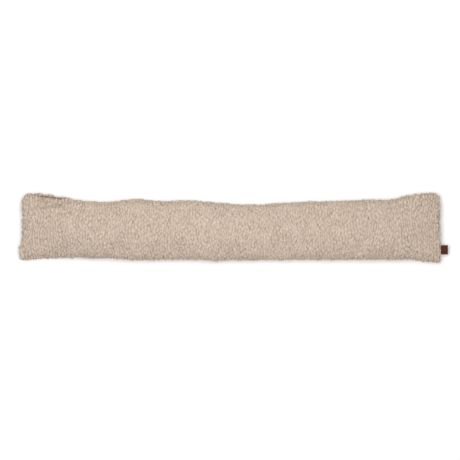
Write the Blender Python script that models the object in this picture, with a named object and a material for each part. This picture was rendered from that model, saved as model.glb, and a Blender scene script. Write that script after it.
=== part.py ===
"""Draught excluder: a long filled cushion of curly teddy cloth, with a small folded label in one end seam.

Two equal panels are sewn together all round, turned and filled. The filling draws the long sides in,
the four corners stay out as soft ears, and the sections that are drawn in most are the thickest.
+X runs along the cushion to the label's end, +Y to its back edge and +Z up from the floor it lies on.
The origin is on the floor, under the middle of the whole object. All sizes are in metres.
"""

import math
from collections import namedtuple

import bmesh
import bpy
from mathutils import Vector, noise

# The cover, measured over its pile
LENGTH = 0.900
CUT_WIDTH = 0.150
PILE = 0.005
GIRTH = 2 * (CUT_WIDTH - PILE) + 2 * math.pi * PILE

# The seam between the panels: each panel's pile rolls over its edge, and the two rolls leave a groove
EDGE_ROUND = 0.0045
EDGE_LIFT = 0.0035
SEAM_DEPTH = 0.003
# One row for each ring of points from the outline to the seam line: the shares of the groove's
# depth that it lies inwards, and of the edge's lift that it stands over the seam's plane
GrooveRing = namedtuple("GrooveRing", "inwards up")
GROOVE_RINGS = (GrooveRing(0.4, 0.5), GrooveRing(1.0, 0.0))
WELD = 1e-6

# How the filled cover stands on the floor
SEAM_HEIGHT = 0.032
END_DROOP = 0.010
DROOP_REACH = 0.120
FLOOR_BLEND = 0.0035

# How the filling closes towards the end seams and rounds off across the width
END_CLOSE = 0.085
END_CLOSE_POWER = 0.55
CROWN_POWER = 0.7
HALVINGS = 40

# The ends: a slight hollow along each, and the front left corner stands out as an ear
END_HOLLOW = 0.0015
END_HOLLOW_REACH = 0.040
EAR_OUT = 0.0055
EAR_REACH = 0.050
EAR_INNER = -0.026
EAR_OUTER = -0.040
CORNER_RADIUS = {"back_left": 0.012, "front_left": 0.007, "back_right": 0.013, "front_right": 0.007}

# The mesh of each panel
END_ZONE = 0.060
END_STEPS = 9
END_STEP_GROWTH = 1.6
MIDDLE_STEPS = 80
WIDTH_STEPS = 16
SLOPE_STEP = 1e-5

# The label: one strip folded in half round its outer end, its two tails sewn into the end seam
LABEL_WIDTH = 0.020
LABEL_SHOWS = 0.0147
LABEL_ROOT = 0.010
LABEL_SHEET = 0.0010
LABEL_GAP = 0.0005
LABEL_Y = -0.0425
LABEL_DROOP_DEG = 9.0
LABEL_STEPS = 6
FOLD_STEPS = 8
CLEAR = 0.0003

# One row for each section: its place, the two edges of the outline, and how far the filled cover
# has rolled there, in degrees, the back seam going up
Section = namedtuple("Section", "along back front roll")
SECTIONS = (
    Section(-0.450, 0.078, -0.064, 3),
    Section(-0.430, 0.079, -0.064, 7),
    Section(-0.397, 0.079, -0.063, 12),
    Section(-0.365, 0.075, -0.062, 13),
    Section(-0.333, 0.066, -0.060, 9),
    Section(-0.290, 0.061, -0.061, 3),
    Section(-0.258, 0.061, -0.061, -1),
    Section(-0.205, 0.066, -0.065, -4),
    Section(-0.140, 0.062, -0.064, -2),
    Section(-0.098, 0.064, -0.064, -3),
    Section(-0.040, 0.060, -0.066, -5),
    Section(0.041, 0.054, -0.066, -2),
    Section(0.090, 0.057, -0.064, 1),
    Section(0.150, 0.060, -0.064, -2),
    Section(0.233, 0.063, -0.064, -5),
    Section(0.298, 0.065, -0.064, -4),
    Section(0.340, 0.066, -0.064, -1),
    Section(0.383, 0.075, -0.066, 1),
    Section(0.421, 0.079, -0.070, 0),
    Section(0.450, 0.078, -0.071, 0),
)

# Soft troughs that run in from an edge, where the outline is drawn in: edge 1 is the back and -1 the
# front, face 1 the top and -1 the underside, and slant is the shift along for each metre inwards
Crease = namedtuple("Crease", "along edge face reach depth half_width slant")
CREASES = (
    Crease(-0.322, 1, 1, 0.055, 0.0034, 0.013, 0.45),
    Crease(-0.268, 1, 1, 0.045, 0.0026, 0.010, -0.20),
    Crease(-0.165, 1, 1, 0.035, 0.0018, 0.011, 0.30),
    Crease(-0.068, 1, 1, 0.035, 0.0016, 0.010, -0.30),
    Crease(0.041, 1, 1, 0.060, 0.0036, 0.017, 0.10),
    Crease(0.352, 1, 1, 0.055, 0.0032, 0.014, -0.55),
    Crease(-0.345, -1, 1, 0.040, 0.0022, 0.012, -0.35),
    Crease(-0.240, -1, 1, 0.045, 0.0026, 0.011, 0.25),
    Crease(0.000, -1, 1, 0.035, 0.0020, 0.012, 0.15),
    Crease(0.205, -1, 1, 0.030, 0.0016, 0.012, -0.20),
    Crease(0.372, -1, 1, 0.045, 0.0026, 0.013, 0.50),
    Crease(-0.300, 1, -1, 0.045, 0.0028, 0.013, 0.25),
    Crease(0.030, 1, -1, 0.050, 0.0030, 0.015, -0.15),
    Crease(0.330, 1, -1, 0.045, 0.0026, 0.013, 0.30),
    Crease(-0.190, -1, -1, 0.040, 0.0024, 0.012, 0.20),
    Crease(0.160, -1, -1, 0.040, 0.0022, 0.012, -0.25),
)
CREASE_FADE_FROM = 0.3
CREASE_FADE_TO = 1.4

# The unevenness of the filling, and the coarsest of the pile's curls on the surface, which both
# fade out over the last stretch before the seam
EVEN_EDGE = 0.013
FILL_LUMP = 0.0022
FILL_LUMP_SIZE = 0.055
CURL_LUMP = 0.0011
CURL_LUMP_SIZE = 0.013

TEDDY_COLOUR = (0.67, 0.54, 0.43, 1.0)
LABEL_COLOUR = (0.11, 0.040, 0.020, 1.0)


def clamped(value, low, high):
    """The value, kept between the two limits."""
    return max(low, min(high, value))


def eased(value, low, high):
    """0 before low, 1 after high, and a smooth S between them."""
    share = clamped((value - low) / (high - low), 0.0, 1.0)
    return share * share * (3 - 2 * share)


def slope_at(index, column):
    """The slope of the table's smooth curve at one row, from the rows on each side."""
    before = SECTIONS[max(index - 1, 0)]
    after = SECTIONS[min(index + 1, len(SECTIONS) - 1)]
    return (getattr(after, column) - getattr(before, column)) / (after.along - before.along)


def section_value(x, column):
    """A column of the section table at x, on a cubic through the rows."""
    x = clamped(x, SECTIONS[0].along, SECTIONS[-1].along)
    index = 0
    while index < len(SECTIONS) - 2 and x > SECTIONS[index + 1].along:
        index += 1
    low, high = SECTIONS[index], SECTIONS[index + 1]
    step = high.along - low.along
    t = (x - low.along) / step
    start = (2 * t**3 - 3 * t**2 + 1) * getattr(low, column)
    start += (t**3 - 2 * t**2 + t) * step * slope_at(index, column)
    end = (3 * t**2 - 2 * t**3) * getattr(high, column)
    end += (t**3 - t**2) * step * slope_at(index + 1, column)
    return start + end


def corner_radius(x, edge):
    """The radius of the corner nearest x, on the back edge (1) or the front edge (-1)."""
    side = "back" if edge > 0 else "front"
    end = "right" if x > 0 else "left"
    return CORNER_RADIUS[f"{side}_{end}"]


def corner_inset(x, edge):
    """How far the rounded corner has drawn an edge in at x."""
    radius = corner_radius(x, edge)
    into = clamped(abs(x) - (LENGTH / 2 - radius), 0.0, radius)
    return radius - math.sqrt(radius**2 - into**2)


def edge_distance(x, y):
    """How far a point of the plan is inside the outline: the distance to a rounded rectangle's edge."""
    back, front = section_value(x, "back"), section_value(x, "front")
    middle, half = (back + front) / 2, (back - front) / 2
    radius = corner_radius(x, y - middle)
    past_x = abs(x) - (LENGTH / 2 - radius)
    past_y = abs(y - middle) - (half - radius)
    outside = math.hypot(max(past_x, 0.0), max(past_y, 0.0))
    return radius - outside - min(max(past_x, past_y), 0.0)


def girth_half_height(half_width):
    """Half the thickness of a section that wide: the ellipse whose girth is the cover's, by halving."""
    low, high = 0.0, GIRTH / 4
    for _ in range(HALVINGS):
        half_height = (low + high) / 2
        total = half_width + half_height
        ratio = ((half_width - half_height) / total) ** 2
        girth = math.pi * total * (1 + 3 * ratio / (10 + math.sqrt(4 - 3 * ratio)))
        if girth < GIRTH:
            low = half_height
        else:
            high = half_height
    return half_height


def crease_depth(x, y, face):
    """How deep the troughs lie at a point of one face: a soft bell across each, fading inwards."""
    depth = 0.0
    for crease in CREASES:
        if crease.face != face:
            continue
        edge_y = section_value(crease.along, "back" if crease.edge > 0 else "front")
        inwards = (edge_y - y) * crease.edge
        off = x - crease.along - crease.slant * inwards
        fade = 1 - eased(inwards, CREASE_FADE_FROM * crease.reach, CREASE_FADE_TO * crease.reach)
        depth += crease.depth * fade * math.exp(-((off / crease.half_width) ** 2))
    return depth


def uneven(x, y, face, size):
    """A smooth random height from -1 to 1 at a point of one face, with lumps of that size."""
    return noise.noise(Vector((x, y, 0.5 * face)) / size)


def panel_height(x, y, face):
    """How high a panel stands over the seam's plane: its rolled edge, its crown, lumps and creases."""
    distance = clamped(edge_distance(x, y), 0.0, 1.0)
    roll = EDGE_ROUND * math.sqrt(1 - (1 - min(distance / EDGE_ROUND, 1.0)) ** 2)
    back, front = section_value(x, "back"), section_value(x, "front")
    half = (back - front) / 2
    across = clamped((y - (back + front) / 2) / half, -1.0, 1.0)
    from_end = LENGTH / 2 - abs(x)
    closing = (1 - (1 - clamped(from_end / END_CLOSE, 0.0, 1.0)) ** 2) ** END_CLOSE_POWER
    crown = (girth_half_height(half) - EDGE_LIFT - EDGE_ROUND) * closing
    crown *= (1 - across**2) ** CROWN_POWER
    inside = eased(distance, 0.0, EVEN_EDGE)
    lumps = FILL_LUMP * uneven(x, y, face, FILL_LUMP_SIZE)
    lumps += CURL_LUMP * uneven(x, y, face, CURL_LUMP_SIZE)
    return EDGE_LIFT + roll + crown + inside * (lumps - crease_depth(x, y, face))


def seam_height(x):
    """How high the end-to-end seam runs over the floor: level, and lower towards both ends."""
    from_end = LENGTH / 2 - abs(x)
    return SEAM_HEIGHT - END_DROOP * (1 - eased(from_end, 0.0, DROOP_REACH))


def on_the_floor(z):
    """A height that can't go under the floor: flat under it, and a short soft curve where it meets it."""
    if z > FLOOR_BLEND:
        return z
    return max(z + FLOOR_BLEND, 0.0) ** 2 / (4 * FLOOR_BLEND)


def laid(point):
    """A point of the flat-seamed cushion, once it is rolled, drooped, hollowed at its ends and laid down."""
    x, y, z = point
    middle = (section_value(x, "back") + section_value(x, "front")) / 2
    roll = math.radians(section_value(x, "roll"))
    rolled_y = middle + (y - middle) * math.cos(roll) - z * math.sin(roll)
    rolled_z = seam_height(x) + (y - middle) * math.sin(roll) + z * math.cos(roll)
    from_end = LENGTH / 2 - abs(x)
    half = section_value(x, "back") - middle
    bow = 1 - clamped((y - middle) / half, -1.0, 1.0) ** 2
    hollow = END_HOLLOW * bow * (1 - eased(from_end, 0.0, END_HOLLOW_REACH))
    ear = EAR_OUT * (1 - eased(x + LENGTH / 2, 0.0, EAR_REACH)) * eased(-y, -EAR_INNER, -EAR_OUTER)
    return Vector((x - math.copysign(hollow, x) - ear, rolled_y, on_the_floor(rolled_z)))


def station(share):
    """The place along the length of a share from -1 to 1: even steps, and finer ones near the ends."""
    steps = abs(share) * (END_STEPS + MIDDLE_STEPS / 2)
    middle_half = LENGTH / 2 - END_ZONE
    if steps <= MIDDLE_STEPS / 2:
        return math.copysign(middle_half * steps / (MIDDLE_STEPS / 2), share)
    left = (END_STEPS + MIDDLE_STEPS / 2 - steps) / END_STEPS
    return math.copysign(LENGTH / 2 - END_ZONE * left**END_STEP_GROWTH, share)


def plan_place(share_x, share_y):
    """A point of the plan from its shares of the length and width, finer near the edges."""
    x = station(share_x)
    back = section_value(x, "back") - corner_inset(x, 1)
    front = section_value(x, "front") + corner_inset(x, -1)
    across = math.sin(share_y * math.pi / 2)
    return x, (back + front) / 2 + across * (back - front) / 2


def moved_in(x, y, depth):
    """A point of the outline moved straight inwards by a depth, up the slope of edge_distance."""
    slope = Vector((
        edge_distance(x + SLOPE_STEP, y) - edge_distance(x - SLOPE_STEP, y),
        edge_distance(x, y + SLOPE_STEP) - edge_distance(x, y - SLOPE_STEP),
    ))
    slope.normalize()
    return x + slope.x * depth, y + slope.y * depth


def add_panel(mesh, face):
    """One panel: a grid set to its height, whose border is then carried under to the seam line."""
    steps_x = MIDDLE_STEPS + 2 * END_STEPS
    made = bmesh.ops.create_grid(mesh, x_segments=steps_x, y_segments=WIDTH_STEPS, size=1)
    for vertex in made["verts"]:
        x, y = plan_place(vertex.co.x, vertex.co.y)
        vertex.co = (x, y, face * panel_height(x, y, face))
    ours = set(made["verts"])
    border = [e for e in mesh.edges if e.is_boundary and e.verts[0] in ours]
    outline = {v: v.co.xy.copy() for e in border for v in e.verts}
    for ring in GROOVE_RINGS:
        grown = bmesh.ops.extrude_edge_only(mesh, edges=border)["geom"]
        border = [g for g in grown if isinstance(g, bmesh.types.BMEdge)]
        fresh = [g for g in grown if isinstance(g, bmesh.types.BMVert)]
        carried = {}
        for vertex in fresh:
            near = [e.other_vert(vertex) for e in vertex.link_edges]
            carried[vertex] = next(outline[v] for v in near if v in outline)
            x, y = moved_in(*carried[vertex], ring.inwards * SEAM_DEPTH)
            vertex.co = (x, y, face * ring.up * EDGE_LIFT)
        outline = carried


def label_line():
    """The label's side view, root to fold: straight in the seam, then bending down by its own weight."""
    line = [Vector((-LABEL_ROOT, 0.0))]
    straight = LABEL_SHOWS - LABEL_GAP / 2 - LABEL_SHEET
    for index in range(LABEL_STEPS + 1):
        along = straight * index / LABEL_STEPS
        drop = math.tan(math.radians(LABEL_DROOP_DEG)) * along**2 / (2 * straight)
        line.append(Vector((along, -drop)))
    return line


def side_of(line, offset):
    """The line moved sideways by an offset, square to its own direction at each point."""
    moved = []
    for index, point in enumerate(line):
        before, after = line[max(index - 1, 0)], line[min(index + 1, len(line) - 1)]
        direction = (after - before).normalized()
        moved.append(point + offset * Vector((-direction.y, direction.x)))
    return moved


def fold_arc(line, radius):
    """The half circle round the line's outer end, from its upper side to its lower side."""
    direction = (line[-1] - line[-2]).normalized()
    sideways = Vector((-direction.y, direction.x))
    arc = []
    for index in range(1, FOLD_STEPS):
        angle = math.pi * index / FOLD_STEPS
        arc.append(line[-1] + radius * (math.cos(angle) * sideways + math.sin(angle) * direction))
    return arc


def label_outline():
    """The folded strip's side view as one closed loop: its outside, and back along the slit inside."""
    line = label_line()
    inner, outer = LABEL_GAP / 2, LABEL_GAP / 2 + LABEL_SHEET
    outside = side_of(line, outer) + fold_arc(line, outer) + side_of(line, -outer)[::-1]
    inside = side_of(line, -inner) + fold_arc(line, inner)[::-1] + side_of(line, inner)[::-1]
    return outside + inside


def new_object(name, mesh, parent):
    """A named object that holds a finished bmesh, under the parent."""
    data = bpy.data.meshes.new(name)
    mesh.to_mesh(data)
    mesh.free()
    thing = bpy.data.objects.new(name, data)
    thing.parent = parent
    bpy.context.scene.collection.objects.link(thing)
    return thing


def new_material(name, colour, roughness):
    """A plain Principled material, in linear colour."""
    material = bpy.data.materials.new(name)
    material.use_nodes = True
    shader = material.node_tree.nodes["Principled BSDF"]
    shader.inputs["Base Color"].default_value = colour
    shader.inputs["Roughness"].default_value = roughness
    shader.inputs["Metallic"].default_value = 0.0
    return material


def make_cover(parent):
    """The filled cover: both panels, welded along the seam line and laid on the floor."""
    mesh = bmesh.new()
    add_panel(mesh, 1)
    add_panel(mesh, -1)
    bmesh.ops.remove_doubles(mesh, verts=mesh.verts[:], dist=WELD)
    for vertex in mesh.verts:
        vertex.co = laid(vertex.co)
    bmesh.ops.recalc_face_normals(mesh, faces=mesh.faces[:])
    cover = new_object("filled_cover", mesh, parent)
    cover.data.materials.append(new_material("teddy_cloth", TEDDY_COLOUR, 0.95))
    cover.data.shade_smooth()
    return cover


def make_label(parent):
    """The label: its folded side view carried across its width, set in the right end seam."""
    mesh = bmesh.new()
    corner = Vector((LENGTH / 2, LABEL_Y - LABEL_WIDTH / 2, seam_height(LENGTH / 2)))
    ring = [mesh.verts.new(corner + Vector((p.x, 0.0, p.y))) for p in label_outline()]
    side = mesh.faces.new(ring)
    carried = bmesh.ops.extrude_face_region(mesh, geom=[side])["geom"]
    moving = [g for g in carried if isinstance(g, bmesh.types.BMVert)]
    bmesh.ops.translate(mesh, verts=moving, vec=(0.0, LABEL_WIDTH, 0.0))
    bmesh.ops.recalc_face_normals(mesh, faces=mesh.faces[:])
    label = new_object("side_label", mesh, parent)
    label.data.materials.append(new_material("label_leatherette", LABEL_COLOUR, 0.55))
    return label


def cut_label_pocket(cover, parent):
    """The slit in the end seam that the label's tails are sewn into, a little larger than they are."""
    inner = LENGTH / 2 - LABEL_ROOT - CLEAR
    outer = LENGTH / 2 + 2 * CORNER_RADIUS["back_right"]
    thickness = 2 * LABEL_SHEET + LABEL_GAP + 2 * CLEAR
    mesh = bmesh.new()
    bmesh.ops.create_cube(mesh, size=1.0)
    bmesh.ops.scale(mesh, vec=(outer - inner, LABEL_WIDTH + 2 * CLEAR, thickness), verts=mesh.verts[:])
    centre = ((inner + outer) / 2, LABEL_Y, seam_height(LENGTH / 2))
    bmesh.ops.translate(mesh, vec=centre, verts=mesh.verts[:])
    cutter = new_object("label_pocket_cutter", mesh, parent)
    cutter.hide_render = True
    cutter.display_type = "WIRE"
    cut = cover.modifiers.new("label pocket", "BOOLEAN")
    cut.operation = "DIFFERENCE"
    cut.solver = "EXACT"
    cut.object = cutter


def stand_on_origin(parent, things):
    """Moves the whole object, by its parent, so that the middle of its underside is at the origin."""
    points = [vertex.co for thing in things for vertex in thing.data.vertices]
    low = [min(p[axis] for p in points) for axis in range(3)]
    high = [max(p[axis] for p in points) for axis in range(3)]
    parent.location = (-(low[0] + high[0]) / 2, -(low[1] + high[1]) / 2, -low[2])


def main():
    for thing in list(bpy.data.objects):
        bpy.data.objects.remove(thing)
    whole = bpy.data.objects.new("draught_excluder", None)
    bpy.context.scene.collection.objects.link(whole)
    cover = make_cover(whole)
    label = make_label(whole)
    cut_label_pocket(cover, whole)
    stand_on_origin(whole, [cover, label])


main()
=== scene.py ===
import math
from collections import namedtuple

import bpy
import numpy as np
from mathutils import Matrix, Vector


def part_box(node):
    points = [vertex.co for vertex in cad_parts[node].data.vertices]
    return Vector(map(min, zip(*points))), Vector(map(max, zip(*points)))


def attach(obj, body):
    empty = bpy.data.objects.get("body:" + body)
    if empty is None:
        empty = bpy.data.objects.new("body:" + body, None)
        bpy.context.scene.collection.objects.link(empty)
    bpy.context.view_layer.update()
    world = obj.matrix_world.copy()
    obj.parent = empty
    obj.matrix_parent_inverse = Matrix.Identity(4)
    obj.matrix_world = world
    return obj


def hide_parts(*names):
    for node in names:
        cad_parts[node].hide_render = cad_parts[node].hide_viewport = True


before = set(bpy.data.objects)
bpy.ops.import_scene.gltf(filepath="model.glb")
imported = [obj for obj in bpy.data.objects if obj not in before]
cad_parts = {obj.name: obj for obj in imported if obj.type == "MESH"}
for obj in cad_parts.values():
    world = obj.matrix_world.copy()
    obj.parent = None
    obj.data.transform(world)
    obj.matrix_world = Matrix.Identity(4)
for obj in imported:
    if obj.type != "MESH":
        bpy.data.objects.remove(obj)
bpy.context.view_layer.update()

# The cover: two equal strips of beige teddy cloth, a knitted polyester ground with a short curly
# pile, sewn face to face all round, turned and filled with loose fibre. The filling draws the long
# sides in and leaves the corners out as soft ears, and a hand's push has rolled it a little.
LENGTH = 0.900
CUT_WIDTH = 0.150
PILE = 0.005
GIRTH = 2 * (CUT_WIDTH - PILE) + 2 * math.pi * PILE

# The rim, where the cloth rounds into the seam: its round, its rise, how deep the seam lies in it,
# and the angles of the rings of points that carry it there
EDGE_ROUND = 0.0045
EDGE_LIFT = 0.0035
SEAM_DEPTH = 0.0012
SEAM_DEPTH_TURNED = 0.0024
RIM_RINGS_DEG = (30, 60, 90)

# How it lies: the seam's height over the floor, the droop of the ends, and the soft flat underneath
SEAM_HEIGHT = 0.032
END_DROOP = 0.010
DROOP_REACH = 0.120
FLOOR_BLEND = 0.0035

# How the crown closes to the ends and to both sides
END_CLOSE = 0.085
END_CLOSE_POWER = 0.55
CROWN_POWER = 0.7

# The ends are drawn in between their corners, and the front left corner stands out as an ear
END_HOLLOW = 0.0010
END_DRAWN = 0.0004
END_DRAWN_AT_BACK = 0.0012
END_DRAWN_AT_RIGHT = 0.0010
END_BACK_SPAN = (-0.005, 0.020)
END_HOLLOW_REACH = 0.040
EAR_OUT = 0.0055
EAR_REACH = 0.050
EAR_INNER = -0.026
EAR_OUTER = -0.040
CORNER_RADIUS = {"back_left": 0.020, "front_left": 0.007, "back_right": 0.0185, "front_right": 0.007}

# One row for each section: its place, the two edges of the outline, and the roll in degrees
SECTIONS = np.array([
    (-0.450, 0.078, -0.064, 3),
    (-0.430, 0.079, -0.064, 7),
    (-0.397, 0.079, -0.063, 12),
    (-0.365, 0.075, -0.062, 13),
    (-0.333, 0.066, -0.060, 9),
    (-0.290, 0.061, -0.061, 3),
    (-0.258, 0.061, -0.061, -1),
    (-0.205, 0.066, -0.064, -4),
    (-0.140, 0.062, -0.064, -2),
    (-0.098, 0.064, -0.064, -3),
    (-0.040, 0.060, -0.065, -5),
    (0.041, 0.054, -0.065, -2),
    (0.090, 0.057, -0.064, 1),
    (0.150, 0.060, -0.064, -2),
    (0.233, 0.063, -0.064, -5),
    (0.298, 0.065, -0.064, -4),
    (0.340, 0.066, -0.064, -1),
    (0.383, 0.075, -0.064, 1),
    (0.421, 0.079, -0.068, 0),
    (0.450, 0.078, -0.071, 0),
])
ALONG, BACK, FRONT, ROLL = range(4)

# One row for each soft trough that runs in from an edge: its place, its edge (1 back, -1 front), its
# face (1 top, -1 underside), its reach, depth, half width, and its shift along for each metre inwards
Crease = namedtuple("Crease", "along edge face reach depth half_width slant")
CREASES = (
    Crease(-0.322, 1, 1, 0.055, 0.0034, 0.013, 0.45),
    Crease(-0.268, 1, 1, 0.045, 0.0026, 0.010, -0.20),
    Crease(-0.165, 1, 1, 0.035, 0.0018, 0.011, 0.30),
    Crease(-0.068, 1, 1, 0.035, 0.0016, 0.010, -0.30),
    Crease(0.041, 1, 1, 0.060, 0.0036, 0.017, 0.10),
    Crease(0.352, 1, 1, 0.055, 0.0032, 0.014, -0.55),
    Crease(-0.345, -1, 1, 0.040, 0.0022, 0.012, -0.35),
    Crease(-0.240, -1, 1, 0.045, 0.0026, 0.011, 0.25),
    Crease(0.000, -1, 1, 0.035, 0.0020, 0.012, 0.15),
    Crease(0.205, -1, 1, 0.030, 0.0016, 0.012, -0.20),
    Crease(0.372, -1, 1, 0.045, 0.0026, 0.013, 0.50),
    Crease(-0.300, 1, -1, 0.045, 0.0028, 0.013, 0.25),
    Crease(0.030, 1, -1, 0.050, 0.0030, 0.015, -0.15),
    Crease(0.330, 1, -1, 0.045, 0.0026, 0.013, 0.30),
    Crease(-0.190, -1, -1, 0.040, 0.0024, 0.012, 0.20),
    Crease(0.160, -1, -1, 0.040, 0.0022, 0.012, -0.25),
)

# A crease fades between these shares of its reach; creases and lumps grow from none at the rim to
# full this far inside it
CREASE_FADE_FROM = 0.3
CREASE_FADE_TO = 1.4
EVEN_EDGE = 0.013
FILL_LUMP = 0.0016
FILL_LUMP_SIZE = 0.075
FILL_LUMP_SEED = 11

# The grid of one panel: steps along in each end zone and between them, and steps across. The cloth
# settles on a grid of every fourth point, about 5 mm apart.
END_ZONE = 0.060
END_STEPS = 56
END_STEP_GROWTH = 1.4
MIDDLE_STEPS = 608
WIDTH_STEPS = 128
STEPS_ALONG = MIDDLE_STEPS + 2 * END_STEPS
SETTLE_EVERY = 4
SETTLE_FRAMES = 20
SETTLE_MOST = 0.005

# The pile: the ground cloth lies this far under the tips, which are where the outline is. Past the
# rim its distance to the outline is counted below zero, down to that of the seam's line.
PILE_DEPTH = 0.0034
SINK_AT_RIM = 0.0030
SINK_REACH = 0.008
SEAM_LINE = -0.003
SEAM_SINK = 0.0004
SEAM_SINK_TURNED = 0.0012

# The nubs: their height, the pitch of their columns and within one, and how uneven they are
NUB_HIGH = 0.0019
NUB_AT_RIM = 1.2
NUB_UNEVEN = 0.4
NUB_ALONG = 0.0056
NUB_ACROSS = 0.0110
NUB_JITTER_ALONG = 0.5
NUB_JITTER_ACROSS = 0.8
NUB_FULL = 0.8
NUB_BREAK = 0.45
NUB_LEAN = 0.0008

# The nap's lie, which carries the columns of nubs sideways in wide and in small waves
NUB_SLANT = 0.0036
NUB_SLANT_SIZE = 0.090
NUB_SLANT_SEED = 21
NUB_WARP = 0.0007
NUB_WARP_SIZE = 0.016
NUB_WARP_SEED = 3
NUB_WARP_ACROSS_SIZE = 0.020
NUB_WARP_ACROSS_SEED = 5
NAP_STEP = 0.001

# The finer curls over the nubs
CURL_HIGH = 0.0005
CURL_SIZE = 0.0036
CURL_STRETCH = 1.6
CURL_LAYER = 7

# The pile's tone, painted shade in its valleys and between its curls and pale on its tips: the
# shares of the nub and of the curl, which paint that shade, and of chance, and the painted shade
# of the seam and of the rim beside it
PAINTED_SHADE_OF_NUB = 0.7
PAINTED_SHADE_OF_CURL = 0.2
TONE_OF_CHANCE = 0.15
# The seam's line and the rolled crease get painted shade, darkest where the seam has rolled onto the
# face
SEAM_SHADE = (SEAM_LINE, 0.0008)
SEAM_PAINTED_SHADE_TONE = 0.20
SEAM_PAINTED_SHADE_TONE_TURNED = -0.20
# The rim is darkened by painted shade, where the surface turns away from the light
RIM_PAINTED_SHADE = 0.08
RIM_PAINTED_SHADE_REACH = 0.010

# At the back left the seam has rolled up onto the face, so that it shows as a dark crease, its dark
# partly painted shade. The edge is turned about a line this far inside it, by this much, over this
# stretch
EDGE_TURN_INSIDE = 0.011
EDGE_TURN_DEG = 40
EDGE_TURN_SPAN = (-0.432, -0.405, -0.370, -0.338)
EDGE_TURN_DRAWN = 0.0015
EDGE_TURN_FULL = 0.011
EDGE_TURN_NONE = 0.030


def eased(value, low, high):
    """0 before low, 1 after high, and a smooth S between them."""
    share = np.clip((value - low) / (high - low), 0, 1)
    return share * share * (3 - 2 * share)


def section_value(x, column):
    """A column of the section table at each x: a cubic through the rows, its slope at a row being
    that of the line through the rows on each side."""
    at, value = SECTIONS[:, ALONG], SECTIONS[:, column]
    slope = np.empty(len(at))
    slope[1:-1] = (value[2:] - value[:-2]) / (at[2:] - at[:-2])
    slope[[0, -1]] = (value[1] - value[0]) / (at[1] - at[0]), (value[-1] - value[-2]) / (at[-1] - at[-2])
    x = np.clip(x, at[0], at[-1])
    low = np.clip(np.searchsorted(at, x, side="right") - 1, 0, len(at) - 2)
    step = at[low + 1] - at[low]
    t = (x - at[low]) / step
    start = (2 * t**3 - 3 * t**2 + 1) * value[low] + (t**3 - 2 * t**2 + t) * step * slope[low]
    return start + (3 * t**2 - 2 * t**3) * value[low + 1] + (t**3 - t**2) * step * slope[low + 1]


def corner_radius(x, back):
    """The radius of the corner nearest each x, where back is true on the back edge."""
    left = np.where(back, CORNER_RADIUS["back_left"], CORNER_RADIUS["front_left"])
    right = np.where(back, CORNER_RADIUS["back_right"], CORNER_RADIUS["front_right"])
    return np.where(x > 0, right, left)


def corner_inset(x, back):
    """How far a rounded corner has drawn an edge in at each x: the sagitta of its circle."""
    radius = corner_radius(x, back)
    into = np.clip(np.abs(x) - (LENGTH / 2 - radius), 0, radius)
    return radius - np.sqrt(radius**2 - into**2)


def edge_distance(x, y):
    """How far each plan point is inside the outline: the distance to a rounded rectangle's edge."""
    back, front = section_value(x, BACK), section_value(x, FRONT)
    middle, half = (back + front) / 2, (back - front) / 2
    radius = corner_radius(x, y > middle)
    past_x = np.abs(x) - (LENGTH / 2 - radius)
    past_y = np.abs(y - middle) - (half - radius)
    outside = np.hypot(np.maximum(past_x, 0), np.maximum(past_y, 0))
    return radius - outside - np.minimum(np.maximum(past_x, past_y), 0)


def girth_half_height(half_width):
    """Half the thickness of a section: the ellipse whose girth is the cover's, found by halving."""
    low, high = np.zeros_like(half_width), np.full_like(half_width, GIRTH / 4)
    for _ in range(30):
        half_height = (low + high) / 2
        total = half_width + half_height
        ratio = ((half_width - half_height) / total) ** 2
        short = math.pi * total * (1 + 3 * ratio / (10 + np.sqrt(4 - 3 * ratio))) < GIRTH
        low, high = np.where(short, half_height, low), np.where(short, high, half_height)
    return half_height


def waves(x, y, size, seed, count=9):
    """A smooth uneven height from about -1 to 1: cosine waves that turn by 5 to 8 radians over that
    size, each at its own seeded angle and phase, added up and evened out by their number."""
    dice = np.random.default_rng(seed)
    total = np.zeros_like(x)
    for angle, phase, stretch in dice.random((count, 3)):
        turn = angle * math.pi
        total += np.cos((x * math.cos(turn) + y * math.sin(turn)) * (5 + 3 * stretch) / size + 7 * phase)
    return total / math.sqrt(count)


def panel_height(x, y, face):
    """How high a panel stands over the seam's plane: its rolled edge, plus a crown that closes to
    the ends and to both sides, plus the filling's lumps, less its creases."""
    back, front = section_value(x, BACK), section_value(x, FRONT)
    half = (back - front) / 2
    distance = np.clip(edge_distance(x, y), 0, 1)
    roll = EDGE_ROUND * np.sqrt(1 - (1 - np.minimum(distance / EDGE_ROUND, 1)) ** 2)
    across = np.clip((y - (back + front) / 2) / half, -1, 1)
    closing = (1 - (1 - np.clip((LENGTH / 2 - np.abs(x)) / END_CLOSE, 0, 1)) ** 2) ** END_CLOSE_POWER
    crown = (girth_half_height(half) - EDGE_LIFT - EDGE_ROUND) * closing * (1 - across**2) ** CROWN_POWER
    uneven = FILL_LUMP * waves(x, y, FILL_LUMP_SIZE, FILL_LUMP_SEED + face)
    for crease in CREASES:
        if crease.face == face:
            edge_y = section_value(np.array(crease.along), BACK if crease.edge > 0 else FRONT)
            inwards = (edge_y - y) * crease.edge
            off = x - crease.along - crease.slant * inwards
            fade = 1 - eased(inwards, CREASE_FADE_FROM * crease.reach, CREASE_FADE_TO * crease.reach)
            uneven -= crease.depth * fade * np.exp(-((off / crease.half_width) ** 2))
    return EDGE_LIFT + roll + crown + eased(distance, 0, EVEN_EDGE) * uneven


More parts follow.
